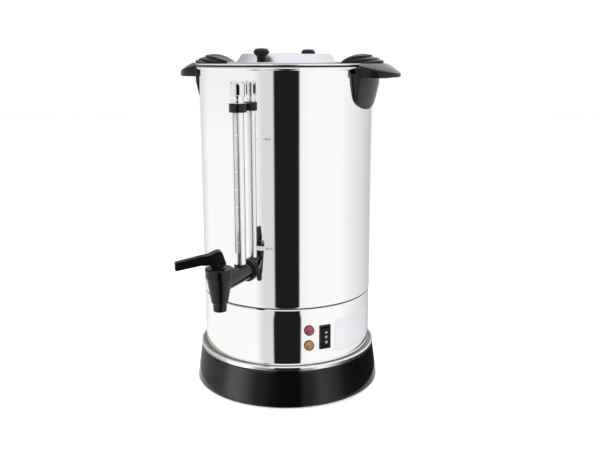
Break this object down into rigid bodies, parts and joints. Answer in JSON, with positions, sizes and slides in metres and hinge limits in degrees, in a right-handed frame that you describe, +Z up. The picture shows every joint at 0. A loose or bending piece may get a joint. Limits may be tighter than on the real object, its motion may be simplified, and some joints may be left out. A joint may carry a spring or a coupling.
{
  "type": "thermal coffee urn",
  "caption": "Tall round insulated urn in polished steel on a black flared base, with a lever tap, a level gauge, side handles, a twist-lock lid with knobs, signal lamps and a rocker switch.",
  "frame": {"origin": "on the axis of the tank at floor level, at the underside of the middle rubber foot", "axes": "+Z up along the tank, -Y out along the tap, +X to the right of someone facing the tap"},
  "size_m": [0.356, 0.3947, 0.5124],
  "materials": {
    "polished_steel": "mirror polished stainless steel",
    "base_plastic": "semi-gloss black moulding",
    "black_plastic": "satin black moulding",
    "knob_plastic": "glossy black moulding",
    "zinc_steel": "zinc plated steel",
    "aluminium": "cast aluminium",
    "element_sheath": "heat-tinted steel tube",
    "rubber": "matte black rubber",
    "silicone": "soft pale silicone",
    "glass": "clear borosilicate tube",
    "red_lens": "clear red dome",
    "amber_lens": "clear amber dome",
    "lamp_bezel": "dark brown ring",
    "cream_plastic": "cream moulding",
    "brown_phenolic": "brown phenolic",
    "blank_plate": "blank foil plate",
    "insulation": "mineral wool blanket"
  },
  "bodies": {
    "urn": {"base_shell": "base_plastic", "base_trim_ring": "polished_steel", "bottom_plate": "zinc_steel", "rubber_feet": "rubber", "bottom_screws": "zinc_steel", "lower_shell": "polished_steel", "cord_gland": "black_plastic", "red_lamp_lens": "red_lens", "amber_lamp_lens": "amber_lens", "lamp_bezels": "lamp_bezel", "lamp_bodies": "cream_plastic", "switch_housing": "black_plastic", "switch_pin": "zinc_steel", "rating_plate": "blank_plate", "outer_shell": "polished_steel", "inner_tank": "polished_steel", "insulation_jacket": "insulation", "deck_gasket": "rubber", "top_deck": "polished_steel", "heat_plate": "aluminium", "heating_element": "element_sheath", "thermostat": "brown_phenolic", "thermal_cutout": "cream_plastic", "heat_shield": "zinc_steel", "tie_rods": "zinc_steel", "tie_nuts": "zinc_steel", "terminal_block": "cream_plastic", "left_handle": "black_plastic", "right_handle": "black_plastic", "left_handle_cap": "black_plastic", "right_handle_cap": "black_plastic", "handle_screws": "zinc_steel", "gauge_guard": "polished_steel", "gauge_glass": "glass", "gauge_collar": "polished_steel", "gauge_seals": "silicone", "gauge_bracket": "black_plastic", "bracket_screw": "zinc_steel", "tap_body": "black_plastic", "tap_bonnet": "black_plastic", "tap_seals": "rubber", "tap_spacer": "zinc_steel", "tap_nut": "black_plastic", "tap_spring": "zinc_steel", "perk_tube": "polished_steel", "coffee_basket": "polished_steel", "basket_cover": "polished_steel"},
    "lid_turn": {"lid_seal": "silicone"},
    "lid": {"lid_pan": "polished_steel", "front_knob": "knob_plastic", "rear_knob": "knob_plastic", "knob_screws": "zinc_steel"},
    "lever_seat": {"lever_washer": "black_plastic"},
    "tap_stem": {"tap_stem": "zinc_steel", "seat_cup": "silicone", "lever_pin": "zinc_steel"},
    "tap_lever": {"tap_lever": "black_plastic"},
    "switch_rocker": {"switch_rocker": "black_plastic"},
    "gauge_cap": {"gauge_cap": "polished_steel"}
  },
  "joints": [
    {"name": "lid_twist", "type": "hinge", "parent": "urn", "child": "lid_turn", "pos_m": [0, 0, 0.49], "axis": [0, 0, 1], "range_deg": [0, 30]},
    {"name": "lid_lift", "type": "slide", "parent": "lid_turn", "child": "lid", "axis": [0, 0, 1], "range_m": [0, 0.15]},
    {"name": "tap_swivel", "type": "hinge", "parent": "urn", "child": "lever_seat", "pos_m": [0, -0.21, 0.2267], "axis": [0, 0, 1], "range_deg": [-49, 151]},
    {"name": "stem_lift", "type": "slide", "parent": "lever_seat", "child": "tap_stem", "axis": [0, 0, 1], "range_m": [0, 0.0035], "stiffness_N_per_m": 400, "springref_m": -0.003, "deforming": ["tap_spring"]},
    {"name": "lever_rise", "type": "hinge", "parent": "tap_stem", "child": "tap_lever", "pos_m": [0, -0.21, 0.2325], "axis": [-0.6293, 0.7771, 0], "range_deg": [0, 80]},
    {"name": "switch_rock", "type": "hinge", "parent": "urn", "child": "switch_rocker", "pos_m": [0.09838, -0.0811, 0.1014], "axis": [0.6361, 0.7716, 0], "range_deg": [-12, 12]},
    {"name": "gauge_cap_turn", "type": "hinge", "parent": "urn", "child": "gauge_cap", "pos_m": [0, -0.152, 0.448], "axis": [0, 0, 1], "continuous": true}
  ],
  "couplings": [
    {"joint": "lever_rise", "follows": "stem_lift", "rad_per_m": 398.93}
  ]
}
